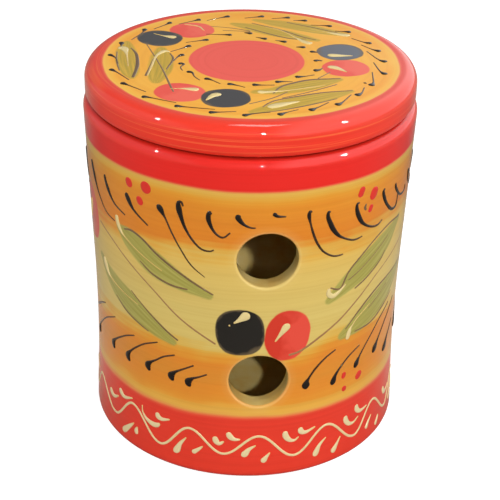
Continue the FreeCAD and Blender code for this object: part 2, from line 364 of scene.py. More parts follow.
# Decoration of the pot's wall: (degrees, height, half width). Most places here and on the lid were picked
# by eye along the marks in the photograph, and a helper script worked out these numbers from them with the
# camera's view that is given above.
BLACK_STROKES = [
    [(-74.8, 121.6, .6), (-73, 117, 1.0), (-71, 112.5, .6), (-68, 108.3, .4), (-63.7, 104.4, .32),
     (-58.1, 103, .25)],
    [(-63.2, 120.7, .7), (-62.5, 118, .8), (-61.3, 115.6, 1.0), (-60, 113.4, .7), (-57.2, 110.6, .42),
     (-51.8, 108.4, .3)],
    [(-50.7, 118.6, .8), (-49.9, 116.6, 1.2), (-48.3, 113.8, .8), (-46.4, 111.8, .5), (-41.1, 108.2, .36)],
    [(-36.9, 118.7, 1.1), (-35.8, 117, 1.35), (-34.8, 115.2, .7), (-33.8, 113.3, .42), (-31.7, 108.2, .38),
     (-28.6, 102, .34), (-25, 96.1, .3), (-20.1, 91.7, .2)],
    [(-27.4, 120.4, .35), (-27.9, 122, .5), (-29, 121.6, .8), (-28.9, 118.9, 1.2), (-28.2, 115.9, .9),
     (-26.9, 111.7, .6), (-24.5, 107.2, .46), (-21.5, 103.9, .42), (-18.6, 103.3, .38), (-17, 104.1, .28)],
    [(-17.7, 119, .35), (-18.5, 119.7, .7), (-18.9, 117.4, .95), (-18.4, 115, .8), (-17.3, 112.4, .55),
     (-15.7, 110.4, .45), (-13.8, 109.8, .42), (-11.6, 112, .34)],
    [(-8.6, 119.6, .8), (-9.2, 118.5, 1.1), (-8.4, 117, .9), (-7.2, 115.6, .6), (-5.3, 114.5, .42),
     (-3.4, 114.3, .3)],
    [(2, 120.3, 1.0), (3.5, 119, .6), (6.3, 118.6, .3)],
    [(15, 119.2, .35), (14.2, 119.7, .5), (14, 117.9, .8), (14.6, 114.8, .42), (15.8, 110.3, .5),
     (17.4, 105.9, .5), (19.9, 101.6, .42), (23, 99, .4), (25.3, 98.1, .4), (28.1, 98, .3)],
    [(21.8, 117.9, .35), (20.9, 117.9, .6), (20.9, 115.8, .85), (22, 112.9, 1.0), (23.1, 110.4, 1.0),
     (24.8, 107.8, .8), (26.9, 105.7, .5), (30.9, 103.3, .42), (33.5, 102.7, .4), (36.2, 103, .28)],
    [(33.5, 118.3, .35), (32.4, 118, .6), (32.4, 115.9, .85), (33.3, 113.1, 1.05), (34.9, 110, .9),
     (36.8, 107.8, .6), (40.1, 105.6, .5), (43.6, 104.7, .45), (46.5, 105.9, .3)],
    [(46.2, 119.5, .4), (45.4, 118.3, .75), (46.2, 115.8, .9), (48.3, 112, .75), (52, 108, .7),
     (55.3, 107.5, .55), (56.3, 109.8, .45), (56.3, 112.8, .35)],
    [(53.6, 118.5, .5), (54.1, 116.3, .75), (57.3, 112.3, .6), (60.1, 110.6, .55), (63.4, 110.7, .45),
     (64.1, 113, .35)],
    [(66.6, 118.5, 1.0), (68, 113, .6), (73, 109, .45), (77, 111, .3)],
    [(79, 120.5, 1.1), (80, 113.5, .6), (84, 106, .4), (90, 103, .25)],
    [(90, 119.5, 1.0), (92, 114, .6), (97, 109, .3)],
    [(-83.3, 51.2, .7), (-75.2, 56.6, .4), (-70.9, 59, .3)],
    [(-80.3, 38.8, .6), (-80.9, 41.2, 1.4), (-79.6, 43.8, .6), (-76.6, 46.8, .42), (-70.5, 52.2, .34),
     (-62.3, 57.3, .26)],
    [(-63.7, 41.4, .6), (-64.5, 43.9, 1.5), (-63.1, 46.2, .6), (-59.2, 49.5, .4), (-54.9, 52.6, .36),
     (-50.3, 55, .28)],
    [(-53.3, 41.2, .6), (-54.5, 43.5, 1.5), (-53, 46.2, .6), (-49.4, 50, .4), (-44.9, 53.7, .36),
     (-38.9, 57, .28)],
    [(-42.9, 41.9, .6), (-43.8, 44.3, 1.55), (-42.2, 46.4, .65), (-39.9, 48.3, .42), (-36.5, 51.2, .38),
     (-31.8, 53.6, .32)],
    [(-32.6, 41.3, .6), (-33.4, 43.5, 1.6), (-31.9, 45.6, .7), (-29.4, 47.5, .44), (-24.4, 50.9, .34)],
    [(-25.9, 40.6, .6), (-26.6, 42.7, 1.6), (-25.1, 44.6, .7), (-22.7, 45.9, .42), (-19.5, 47.8, .34)],
    [(16.3, 39.9, .9), (16.5, 42, 1.75), (17.3, 44.4, .6), (20.2, 48.8, .5), (24, 52.4, .42),
     (28.3, 54.8, .34)],
    [(27.2, 38.4, .8), (27.9, 39.9, 1.4), (28.9, 42.7, .75), (31.5, 46, .45), (35.3, 49.3, .4),
     (40.3, 51.8, .32)],
    [(38.2, 41.8, .8), (39.1, 43.6, 1.4), (40.3, 45.9, .6), (42.4, 48.6, .42), (46.4, 52.8, .38),
     (52.2, 57.9, .34), (59.6, 62, .26)],
    [(49.2, 43.2, .8), (50.5, 45.3, 1.7), (52.2, 47.9, .6), (56.4, 52.9, .42), (60.8, 57, .36),
     (65.6, 61.3, .26)],
    [(57.6, 39.2, .9), (59.6, 40.6, 1.9), (60.9, 43.1, .8), (63.3, 45.9, .42), (67.2, 49.6, .3)],
    [(73.6, 41, .6), (74.8, 43.2, 1.4), (77, 47.4, .5), (86, 55, .25)],
]
RED_DOTS = [
    [(-49.4, 125.5, 1.75), (-48.6, 121.5, 1.75)], [(-41.8, 126.6, 2.35), (-41.2, 121.6, 2.35)],
    [(-44.9, 119.4, 1.5), (-43.8, 115.8, 1.65)], [(34.6, 124.7, 1.5), (33.2, 120.5, 1.4)],
    [(40.9, 122.4, 2.1), (39.3, 117.3, 1.95)], [(39.6, 115.4, 1.2), (38.6, 112.2, 1.1)],
    [(33.1, 42.2, 1.15), (32.6, 39.2, 1.15)],
    [(42.1, 38.7, 1.65), (39.4, 35.8, 1.65)],
    [(33.4, 35.5, 1.25), (33.3, 32.9, 1.25)],
]
CREAM_STROKES = [
    [(-56.8, 106.4, .9), (-56.4, 103.4, 1.1), (-54.6, 100.3, .7), (-52, 98.2, .24), (-45, 94.5, .2),
     (-36, 90.3, .16)],
    [(-68.5, 82, .8), (-67.2, 79, 1.5), (-65.4, 76.2, .8), (-62.5, 74.6, .28), (-56, 72.6, .2),
     (-47.5, 70.6, .16)],
    [(23.4, 84.5, .6), (23.4, 81.8, 1.1), (25.8, 80.4, 1.0), (30.5, 84, .35)],
    [(44.3, 69.3, .18), (38, 65.8, .22), (34.8, 62.5, .5), (33.9, 60.5, 1.2), (33.2, 57.4, 1)],
    [(-5, 77.2, 1.5), (-6.3, 75.9, 1.9), (-8.4, 74, .9), (-10.2, 72.6, .35)],
    [(-11.4, 71.7, .45), (-11.9, 71.2, .4)],
    [(9, 71.7, 1.2), (7.9, 70, 1.6), (6.2, 67.2, .8), (4.3, 64, .3)],
    [(-80.2, 101.8, 1.3), (-81, 98.5, 1.2), (-83.5, 92, .3)],
    [(-95, 99.5, 1.4), (-97, 97, 1.1), (-100.5, 93.5, .3)],
]
# Long stems, brushed on thin; then the darker lines that edge the leaves.
STEMS = [
    [(-70, 97.3, .4), (-60.8, 93.8, .36), (-50.7, 87.8, .36), (-40, 80.4, .36), (-29.3, 71, .4),
     (-16.4, 62.3, .42)],
    [(9.4, 57.2, .5), (13.8, 58.4, .5), (20.3, 62.5, .5), (28.7, 68, .46), (36.6, 74.3, .42),
     (46.3, 81.4, .36), (57, 85.8, .34), (68, 89, .34), (77, 92, .34)],
]
BROWN_LINES = [
    [(-53, 102, .3), (-48.8, 103, .5), (-43.5, 101.1, .5), (-38, 97, .5), (-27, 90.2, .5),
     (-17.2, 84.4, .36)],
    [(-45.6, 91.2, .25), (-40.2, 87.6, .42), (-33, 85.3, .45), (-26.3, 85, .36)],
    [(-51, 75.6, .25), (-39.6, 67, .42), (-34.4, 63.2, .45), (-30.4, 60.7, .4)],
    [(-60.5, 68.7, .25), (-53.8, 64.3, .4), (-43, 60.3, .3)],
    [(60.5, 101.2, .45), (52, 101.6, .42), (43.6, 98.9, .42), (35.4, 93.2, .42), (31, 88.7, .45),
     (28.6, 83.2, .42), (26.6, 82.9, .4), (23.9, 84.4, .3)],
    [(51, 90.3, .3), (48, 87.1, .42), (41, 83, .4), (34.8, 80.2, .36)],
    [(31.4, 85.3, .3), (35.2, 87.1, .25), (43.5, 91.7, .22), (52.2, 96.6, .2)],
    [(32, 62.6, .3), (38.5, 69, .45), (46.7, 74.2, .5), (55.5, 76.4, .42), (69.5, 77, .25)],
    [(36.8, 59.6, .3), (46, 59.8, .45), (54.8, 63.3, .45), (61.4, 66.4, .3)],
    [(43.5, 67.2, .2), (48.5, 69.9, .24), (55.5, 73.2, .18)],
    [(36.7, 116.7, .45), (36.2, 115.2, .6), (36.9, 113.9, .45)],
]
LEAVES = [
    [(-55.5, 101.5, 1.8), (-49, 98.3, 5.0), (-39, 92.3, 5.8), (-28, 87.3, 3.6), (-18.8, 83.8, 1.6)],
    [(-71, 81.5, 1.4), (-62, 74.5, 4.6), (-52, 69.3, 5.6), (-42, 64.3, 4.2), (-32.5, 59.3, 1.6)],
    [(23.6, 78.8, 1.6), (31, 84, 4.2), (39.5, 89, 5.8), (50, 94.6, 5.2), (60.3, 101, 1.2)],
    [(30.5, 60.3, 1.8), (38.5, 63.2, 4.6), (48, 67.3, 6.0), (58.5, 71.6, 5.2), (70.2, 76.8, 1.2)],
]
# Olives: (degrees, height, half width, half height, lean, how squared off the oval is).
BLACK_OLIVES = [(-8, 68.4, 9.5, 10.3, 5, 2.5), (-97, 95, 9.3, 10.6, -8, 2.4)]
RED_OLIVES = [(8.8, 66.3, 9.1, 11.4, -6, 2.15), (-80, 97, 9.2, 12.0, 6, 2.2)]
# The foot's vine: valley and crest in turn, and the marks above and below it.
VINE_HALF, BACK_PERIODS, BACK_VALLEY, BACK_CREST = 0.55, 9, 10, 20
VINE = [(-63.3, 10.8), (-51.7, 21.7), (-38, 9.5), (-26, 21), (-13.3, 11.5), (-.5, 20.2), (12.7, 9.5),
        (25.7, 20.1), (39.5, 8.6), (51, 19.5), (62.8, 9.3)]
FOOT_DROPS = [
    [(-57.8, 5.3, .95), (-56.5, 6.4, 1.42), (-53.7, 9.6, .95), (-51.1, 12.6, .28)],
    [(-49.1, 8.2, .95), (-49.8, 9.4, 1.15), (-49.2, 11.7, .38)],
    [(-32.1, 7.8, .95), (-30.8, 9.3, 1.47), (-29.5, 12.6, .84), (-27.2, 16.2, .28)],
    [(-24.7, 9.7, 1.15), (-22.3, 12, .73), (-20.8, 13.7, .28)],
    [(-6.6, 10.9, .95), (-5.4, 11.9, 1.42), (-3.9, 14.1, .84), (-1.5, 15.9, .28)],
    [(.6, 7.9, .84), (1.5, 8.8, 1.2), (2.5, 10.4, .73), (3.7, 12.2, .28)],
    [(20.4, 6.8, .95), (21.4, 8, 1.42), (23, 11.4, .79), (25.7, 14.1, .28)],
    [(28.3, 5.5, .95), (29.3, 6.5, 1.31), (30.7, 8.8, .73), (32.4, 11.7, .28)],
    [(46.8, 7.5, 1.26), (48.3, 10.2, .79), (50.5, 12.6, .28)],
    [(53.8, 5, 1.15), (55.3, 7, .95), (56.4, 9, .38)],
]
FOOT_COMMAS = [
    [(-67.6, 20.1, .98), (-66.5, 18.4, 1.3), (-64.2, 18, .85), (-61.1, 19.9, .33)],
    [(-59.9, 24.7, .98), (-59.1, 23, 1.3), (-56.8, 22.1, .85), (-52, 24.1, .33)],
    [(-46.7, 23.8, .28), (-46.5, 20.7, .39), (-44.5, 18.2, .78), (-41.4, 17.1, 1.23), (-39.4, 17.6, 1.04),
     (-38.3, 18.8, .44)],
    [(-39.5, 23.6, .98), (-39, 21.8, 1.3), (-37.1, 21.3, .85), (-33.9, 22.4, .33)],
    [(-16.4, 19.3, .98), (-16, 17.3, 1.3), (-14.8, 16.1, .91), (-13, 17.3, .39)],
    [(-11.7, 21.9, .98), (-10.8, 19.8, 1.3), (-9.2, 18.7, .85), (-7.1, 18.7, .33)],
    [(9.2, 21.6, .98), (9.4, 19.2, 1.3), (10.9, 17.1, .98), (12.8, 16.6, .55), (14.4, 17.9, .33)],
    [(14.9, 22.2, .98), (15.3, 20.2, 1.23), (17.2, 19.4, .78), (21, 20.9, .33)],
    [(34.8, 20.4, .98), (34.9, 18.3, 1.3), (36.5, 15.8, .98), (39.1, 15.2, .55), (41.8, 16.8, .33)],
    [(40.4, 23, .98), (40.8, 20.6, 1.23), (42.9, 18.8, .85), (47.1, 19.2, .33)],
    [(60.5, 19.6, 1.04), (61.6, 17, 1.17), (63.6, 15.8, .78), (67.6, 17.2, .33)],
]

# Decoration of the lid's top: (x, y, half width). A comma has one half width, then its places (x, y).
LID_COMMAS = [
    (1.1, (-4, 52), (-7, 50.6), (-14, 47)), (1.1, (-16.5, 48.5), (-19, 47), (-26, 43)),
    (1.0, (-29, 45.5), (-31, 43), (-36.5, 37.5)), (1.1, (-40, 37.8), (-41.5, 33), (-46, 25)),
    (1.1, (-50, 22.6), (-50.3, 17.4)), (1.0, (-55.3, 9), (-52.8, 5.4), (-51.8, -1.2)),
    (1.0, (-55, -6.8), (-52.3, -10.4), (-48, -18.3)),
    (1.1, (-51, -21), (-48, -24), (-42, -30.5)),
    (1.1, (-43.8, -34.9), (-40, -36.5), (-31.4, -41.5)),
    (1.1, (-32.3, -44.3), (-28.4, -45.5), (-17.8, -48.4)),
    (1.1, (-20.4, -51), (-16.6, -51), (-10.4, -50.7)),
    (1.1, (-8.6, -54.6), (-4, -53), (1.8, -52)),
    (1.3, (4.2, -54.7), (7, -52.8), (12.2, -50)), (1.3, (16, -51.2), (19.8, -48.1), (24.2, -43.8)),
    (1.3, (26.2, -46.6), (28.9, -44.4), (33.5, -37)), (1.3, (35, -38), (37.6, -35.6), (39.6, -30.2)),
    (1.3, (42, -28.6), (43.8, -25.6), (45.3, -14.8)), (1.2, (50.3, -17.6), (48.5, -14), (47.6, -4.5)),
    (1.2, (53, -4.3), (50.2, -1.8), (47, 7.7)), (1.2, (52.6, 7.3), (49.6, 9.8), (45.9, 15.2)),
    (1.1, (50.6, 16.5), (47.7, 18), (43.3, 22.9)), (1.0, (44.4, 30.2), (41, 31), (37.8, 31.8)),
    (1.0, (37.6, 37.6), (34, 38.6), (28.8, 39.5)), (1.0, (28.2, 44.9), (25, 45.3), (22.3, 45.4)),
    (1.0, (21.4, 49.2), (18, 48.8), (13.4, 48.2)), (1.1, (10.6, 51.3), (7, 50.4), (2, 49.3)),
    (.7, (40.3, -26.3), (40.9, -25.5)),
    (1.0, (-5, 29), (-9, 29.5), (-15.6, 30.4)), (1.0, (-14.9, 23.9), (-18, 23), (-24.4, 21)),
    (1.1, (-22.6, 17.5), (-25.5, 15), (-31, 10.8)), (1.1, (-25.9, 7.6), (-28.2, 5.4), (-30.3, .5)),
    (.9, (-28.6, -2), (-26.6, -2.9), (-27.9, -6.2), (-27.3, -9.8)),
    (.9, (-25.8, -10.7), (-23.8, -12.2), (-23.2, -16), (-21.4, -20)),
    (1.0, (-19.6, -18.2), (-17.3, -19.6), (-14, -23.9)), (1.0, (-11.4, -24), (-8.6, -25.3), (-5, -28)),
    (1.1, (-2.2, -25.4), (1.2, -26), (6.3, -26.2)), (1.1, (6.7, -23.1), (9.8, -22.9), (13.4, -23.1)),
    (1.1, (14.9, -18.4), (18.2, -18.1), (22.7, -16.6)), (1.1, (22.8, -12.2), (25.2, -11.5), (26.8, -9.6)),
    (.9, (24.4, -2.1), (26, -1.4), (27.8, -2)), (.9, (24.2, 8.4), (25.6, 8.1), (27.3, 7.3)),
    (1.0, (23.2, 13.2), (21.4, 13.6), (19.4, 13.8)), (1.1, (16.4, 19.6), (14.4, 20.6), (12, 22.1)),
    (1.0, (8.8, 23.4), (7, 24.4), (4.4, 25.9)), (1.0, (3.5, 30.2), (1.8, 30.9), (.2, 31.5)),
]
LID_CREAM = [
    [(-22.4, -29.4, 1.88), (-25, -28.7, 1.38), (-29, -27.9, .36), (-33, -27.7, .2)],
    [(-14.4, -34.2, 1.25), (-17.2, -34.9, 1.5), (-20.6, -39.7, .24)],
    [(-27.8, 27.1, 1.62), (-30, 27.9, 1.38), (-33, 29.3, .4), (-36.8, 32.2, .24)],
    [(-16, 35, .32), (-18.2, 40.2, .4), (-23.8, 42.7, .24)],
    [(30.7, 4.1, 1.25), (33, 3.9, 1.5), (36, 3.4, 1), (40.6, 3, .2)],
    [(28.8, -8.5, 1.12), (31.2, -9.2, 1.62), (33.4, -11.4, 1), (35.5, -14.3, .2)],
    [(-51.6, 15.6, 1), (-49.2, 15.4, 1.75), (-48.3, 9, .48), (-48, -4.5, .2)],
    [(-41, -14.3, .32), (-39, -4.2, .44), (-36.8, 6.3, .56), (-33.6, 11.4, 1.12), (-31.2, 10.6, .4)],
    [(-.9, -32.4, 1.5), (2.2, -32.9, 1), (10, -31.9, .36), (19.2, -29.2, .32), (25.4, -27.3, .16)],
    [(1.3, -47.5, 1.38), (5, -45.8, 1.88), (9, -44.2, 1.25), (13.8, -42.4, .24)],
    [(26.4, 17.3, 1.62), (23.6, 19.3, 1.25), (20.4, 25, .4), (16, 33, .24), (9.5, 38.5, .16)],
    [(43.2, 26, 1.5), (39.6, 27.2, 1.25), (34, 30.6, .32), (28, 34.5, .2)],
]
LID_BROWN = [
    [(-46.4, 16, .3), (-44.5, 9, .6), (-44.3, -1, .75), (-44.9, -7, .7), (-46.5, -15.9, .6)],
    [(-52, 12, .25), (-52.3, 2, .35), (-51.4, -8.6, .3)],
    [(-41.6, -14.6, .6), (-39.9, -6, .35), (-37.7, 4.6, .3)],
    [(-31.2, 9.2, .3), (-30.4, 2.5, .5), (-33.5, -8.2, .3)],
    [(-40.2, 20.5, .25), (-37, 4, .28), (-34.8, -9, .34), (-32.9, -24, .42), (-31.9, -31, .3)],
    [(4.7, -34.6, .3), (7.6, -29, .5), (11.5, -25.6, .55), (20.2, -21.6, .6), (32.2, -20.8, .45)],
    [(7.4, -39.1, .3), (18.6, -33.5, .35), (29.8, -26.7, .35)],
    [(-5.2, -44, .3), (3.8, -39, .35), (10.4, -33, .3)], [(23.4, -20.4, .3), (29.2, -14, .25)],
    [(-.6, -47.2, .3), (2.4, -43.2, .4), (7, -40.2, .45), (22.5, -34.7, .45), (34.8, -33, .35)],
    [(-7.4, -53.4, .3), (4.5, -50.8, .35), (17, -45.9, .4), (27.8, -40.5, .3)],
    [(4.4, 43.1, .3), (15.6, 34, .4), (23.1, 25.9, .4), (28.6, 21.6, .3)],
    [(1.2, 38, .3), (10.2, 29.7, .4), (18.4, 23.6, .4), (24.8, 22.9, .3)],
    [(19.2, 43.3, .3), (29.1, 36.7, .35), (38.7, 29.6, .3)],
    [(-12.9, 39.9, .25), (-4, 37, .3), (3, 33.2, .35)], [(-8.4, 34.6, .25), (-2, 33.6, .3), (3, 32.5, .3)],
]
LID_LEAVES = [
    [(-47.8, 22.6, 1.4), (-48.4, 12, 4.0), (-48.2, 0, 4.4), (-47.4, -10, 3.4), (-46.9, -16, 1.4)],
    [(-34.3, 14.4, 1.8), (-34.8, 6, 4.2), (-35.5, -5, 4.8), (-37, -14, 3.8), (-38, -20.6, 1.8)],
    [(-1.8, -32.6, 1.6), (6, -32, 3.4), (14, -29, 4.6), (23, -25.4, 3.8), (31.5, -21.6, 1.4)],
    [(-4.6, -51.4, 1.6), (4, -47.4, 3.6), (14, -42.6, 4.6), (24, -38.4, 3.8), (34, -33.6, 1.2)],
    [(-3.4, 42.6, 1.4), (5, 37.4, 4.2), (14, 30.6, 4.6), (22, 25.4, 3.4), (29, 21.2, 1.4)],
    [(6.4, 46.6, 1.4), (16, 41.8, 3.8), (25, 36.8, 4.4), (34, 31.4, 3.6), (42.2, 26.6, 1.4)],
]
LID_BLACK_OLIVES = [(-13.1, -37.9, 9.2, 8.9, 8, 2.2), (36.2, 7.4, 9.1, 8.8, 15, 2.2),
                    (-34.5, 26.5, 9.2, 8.7, -35, 2.2)]
LID_RED_OLIVES = [(-29.6, -31.4, 9.6, 8.9, -30, 2.1), (35.8, -10.1, 9.2, 8.8, 10, 2.1),
                  (-20.9, 35.5, 9.3, 8.8, 25, 2.1)]


# Bands painted round the wall as (height, colour) and rings on the lid as (radius, colour), with each
# list's two ends first. The wall's colours were first read down upright lines of the photograph by a helper
# script; both lists were then corrected by comparing renders with it.
WALL_SPAN, LID_SPAN = 145, 66
# The dark red from 141.25 mm up, at the top of the shoulder where the lid sits, is painted shade of the seam
# between lid and pot.
WALL_BANDS = [(0, "#E43924"), (145, "#8A2216"), (27.4, "#E43924"), (28.4, "#E55A3A"), (29.6, "#E49248"),
              (30.8, "#E2AC48"), (33, "#E3A63E"), (35.5, "#E1932C"), (41, "#DF8926"), (46, "#D98A2A"),
              (53, "#DF8726"), (57, "#DE952C"), (60, "#DAAC46"), (63.5, "#D6BC68"), (75, "#D6BD6A"),
              (90, "#D9BA63"), (98, "#DCB65A"), (101, "#DCA946"), (103.5, "#DD9834"), (106, "#DB8122"),
              (109, "#DC8220"), (114, "#DC8522"), (121, "#DE8C24"), (125, "#DE962A"), (126.6, "#DCA840"),
              (128.3, "#DDAF52"), (128.9, "#E2503A"), (129.7, "#E42218"), (140.9, "#E42218"),
              (141.25, "#8A2216")]
LID_RINGS = [(0, "#F5AA2C"), (66, "#EA3420"), (30, "#F6AE30"), (44, "#F7B134"), (54, "#F5A628"),
             (56.6, "#F6B63A"), (57.6, "#F7C04E"), (58.1, "#EA6440"), (58.8, "#E2402C"), (63, "#E6351F")]


def glaze_skin(tree, shader, place, swell=0.06):
    """Clear gloss glaze over the colour: one hard smooth coat, with the slow swell of a fired surface.

    The swell is 10 mm across and only tens of micrometres deep. The paint under the coat hardly shines.
    """
    slow = noise(tree, place, 100.0, 1.0)
    ripple = add_node(tree, "ShaderNodeBump", {"Height": slow, "Strength": swell, "Distance": 0.0006})
    tree.links.new(ripple.outputs[0], shader.inputs["Coat Normal"])
    for name, value in [("Roughness", 0.5), ("IOR", 1.5), ("Specular IOR Level", 0.12), ("Coat Weight", 0.9),
                        ("Coat Roughness", 0.035), ("Coat IOR", 1.5)]:
        shader.inputs[name].default_value = value


def layer(tree, below, above, amount, **settings):
    """One colour laid over another by an amount from 0 to 1."""
    return add_node(tree, "ShaderNodeMix", {0: amount, 6: below, 7: above}, data_type="RGBA",
                    **settings).outputs[2]


def edge_of(tree, label, ragged, soft):
    """0 outside and 1 inside a painted shape, from its depth in mm, with a slightly ragged border."""
    depth = held(tree, label)
    moved = maths(tree, "ADD", depth, ragged)
    return spread(tree, moved, -soft, soft, interpolation_type="SMOOTHSTEP")


def painted_ornament(tree, place, ground, leaf_colours, red_dark, red_light, black):
    """Leaves and olives painted over the ground, from the mesh's own depth values."""
    slow = noise(tree, place, 150.0, 2.0)
    ragged = spread(tree, slow, 0.3, 0.7, -0.2, 0.2)
    across = held(tree, "leaf_across")
    along = held(tree, "leaf_along")
    # Brush hairs run along the leaf, so the hair noise is stretched that way.
    hairs = add_node(tree, "ShaderNodeCombineXYZ", {0: across, 1: along, 2: 0.0}).outputs[0]
    hairs = stretched(tree, hairs, (3.0, 1.6, 1.0))
    hair = noise(tree, hairs, 1.6, 3.0)
    dark, middle, light = leaf_colours
    green = ramp(tree, hair, [(0.3, dark), (0.72, light), (0.5, middle)])
    leaf = edge_of(tree, "leaf_inside", ragged, 0.6)
    leaf = maths(tree, "MULTIPLY", leaf, 0.94)
    colour = layer(tree, ground, green, leaf)
    # The red is thicker on one side of the stroke that filled the olive, with a loose seam between.
    side = held(tree, "red_across")
    side = maths(tree, "MULTIPLY_ADD", slow, 2.2, side)
    side = spread(tree, side, 0.75, 1.35)
    blush = layer(tree, linear(red_dark), linear(red_light), side)
    colour = layer(tree, colour, blush, edge_of(tree, "red_olive", ragged, 0.35))
    # Near its border the black runs thin and brown here and there.
    depth = held(tree, "black_olive")
    thin = maths(tree, "MULTIPLY_ADD", slow, -5.0, depth)
    thin = spread(tree, thin, -2.6, -1.4, 0.75, 0.0)
    ink = layer(tree, black, linear("#6B5A40"), thin)
    return layer(tree, colour, ink, edge_of(tree, "black_olive", ragged, 0.25))


def wall_paint():
    """Earthenware brushed with bands of underglaze on a turning wheel, fired under a clear gloss glaze.

    The eye sees level brush streaks, loose borders between yellow and orange, and a wet shine.
    """
    material, tree, shader = new_material("Brushed underglaze on earthenware, pot")
    place = own_place(tree)
    height = add_node(tree, "ShaderNodeSeparateXYZ", {0: place}).outputs["Z"]
    # Streaks 2.5 mm and 0.8 mm high that run on for a hand's width or more round the wall.
    broad_at = stretched(tree, place, (8.0, 8.0, 400.0))
    broad = noise(tree, broad_at, 1.0, 3.0)
    narrow_at = stretched(tree, place, (10.0, 10.0, 1250.0))
    narrow = noise(tree, narrow_at, 1.0, 2.0)
    slow = noise(tree, place, 26.0, 3.0)
    share = maths(tree, "DIVIDE", height, WALL_SPAN * MM)
    # How loose the painter's border is at each height, in parts of the ramp.
    loose = ramp(tree, share, [(0.0, 0.0), (1.0, 0.0), (0.17, 0.08), (0.2, 0.12), (0.24, 0.55), (0.4, 0.85),
                               (0.6, 0.4), (0.72, 0.75), (0.84, 0.6), (0.87, 0.07), (0.9, 0.04)])
    swing = maths(tree, "MULTIPLY_ADD", broad, 0.6, slow)
    swing = spread(tree, swing, 0.5, 1.1, -0.055, 0.055, clamp=False)
    moved = maths(tree, "MULTIPLY_ADD", swing, loose, share)
    bands = ramp(tree, moved, [(at / WALL_SPAN, code) for at, code in WALL_BANDS])
    tone = maths(tree, "ADD", narrow, broad)
    tone = ramp(tree, maths(tree, "MULTIPLY", tone, 0.5),
                [(0.34, "#F7F2EB"), (0.66, "#FFFFFF"), (0.5, "#FCFAF7")])
    streaked = layer(tree, bands, tone, 1.0, blend_type="MULTIPLY")
    # Glaze draws back from the punched edges and leaves them pale over 4 mm.
    gap = held(tree, "vent_gap")
    pale = ramp(tree, maths(tree, "DIVIDE", gap, 4.0), [(0.0, 0.3), (1.0, 0.0), (0.2, 0.24), (0.32, 0.08)])
    streaked = layer(tree, streaked, linear("#E6CE88"), pale)
    colour = painted_ornament(tree, place, streaked, ("#928C3A", "#A29B49", "#B4AB58"), "#CE3420", "#E04A38",
                              linear("#221E18"))
    tree.links.new(colour, shader.inputs["Base Color"])
    glaze_skin(tree, shader, place)
    return material


def lid_paint():
    """Earthenware lid painted on the wheel under the same glaze: coral middle and rim on warm yellow."""
    material, tree, shader = new_material("Brushed underglaze on earthenware, lid")
    place = own_place(tree)
    parts, flat, radius = from_axis(tree, place)
    # Streaks 1.4 mm wide that follow the wheel: noise read at the radius, and slowly round the lid.
    wheel = maths(tree, "MULTIPLY_ADD", radius, 0.6, parts.outputs["Z"])
    wheel = add_node(tree, "ShaderNodeCombineXYZ", {0: parts.outputs["X"], 1: parts.outputs["Y"],
                                                   2: wheel}).outputs[0]
    wheel = stretched(tree, wheel, (9.0, 9.0, 900.0))
    streak = noise(tree, wheel, 1.0, 3.0)
    slow = noise(tree, place, 24.0, 3.0)
    waver = spread(tree, slow, 0.3, 0.7, -0.0004, 0.0004)
    reach = maths(tree, "ADD", radius, waver)
    reach = maths(tree, "DIVIDE", reach, LID_SPAN * MM)
    rings = ramp(tree, reach, [(at / LID_SPAN, code) for at, code in LID_RINGS])
    # A paler yellow wash lies in clouds within 57.2 mm of the axis.
    wash = spread(tree, slow, 0.45, 0.7, 0.0, 0.5)
    on_top = maths(tree, "LESS_THAN", radius, 0.0572)
    wash = maths(tree, "MULTIPLY", wash, on_top)
    colour = layer(tree, rings, linear("#F8C850"), wash)
    # Thin orange lines round the wheel-turned rim: partly where the brush left it bare, partly painted
    # reflection along its rounding.
    lines = spread(tree, streak, 0.55, 0.68, 0.0, 0.5)
    on_rim = maths(tree, "GREATER_THAN", radius, 0.059)
    lines = maths(tree, "MULTIPLY", lines, on_rim)
    colour = layer(tree, colour, linear("#F58444"), lines)
    # The coral disc, 22.6 mm in radius, was painted 1.8 mm left of the middle.
    centre = add_node(tree, "ShaderNodeVectorMath", {0: flat, 1: (-0.0018, 0.0, 0.0)}, operation="DISTANCE")
    centre = maths(tree, "ADD", centre.outputs["Value"], waver)
    disc = spread(tree, centre, 0.0223, 0.0229, 1.0, 0.0)
    colour = layer(tree, colour, linear("#EF594B"), disc)
    tone = ramp(tree, streak, [(0.3, "#F8F3EE"), (0.7, "#FFFFFF"), (0.5, "#FDFBF9")])
    colour = layer(tree, colour, tone, 1.0, blend_type="MULTIPLY")
    # The black of the right-hand olive is lighter and bluish: partly thinner paint, partly painted reflection
    # of the bright screen to the right.
    thin_and_sheen_side = spread(tree, parts.outputs["X"], 0.0, 0.03)
    black = layer(tree, linear("#3B3A3C"), linear("#5E626C"), thin_and_sheen_side)
    colour = painted_ornament(tree, place, colour, ("#A3922A", "#C09E2C", "#D8AE36"), "#EA5040", "#F0624E",
                              black)
    tree.links.new(colour, shader.inputs["Base Color"])
    glaze_skin(tree, shader, place)
    return material


def inside_glaze():
    """Thin straw-coloured glaze poured inside the pot and wiped through the vents, with orange stains."""
    material, tree, shader = new_material("Straw glaze on earthenware, inside")
    place = own_place(tree)
    cloud = noise(tree, place, 70.0, 5.0)
    colour = ramp(tree, cloud, [(0.3, "#E6B45A"), (0.75, "#F2DC98"), (0.45, "#EACA78"), (0.6, "#EDD388")])
    # It turns darker 55 mm and more from the axis, over the vents' tunnels.
    radius = from_axis(tree, place)[2]
    edge = spread(tree, radius, 0.0545, 0.058, 0.0, 0.36)
    colour = layer(tree, colour, linear("#96793F"), edge)
    tree.links.new(colour, shader.inputs["Base Color"])
    glaze_skin(tree, shader, place)
    return material


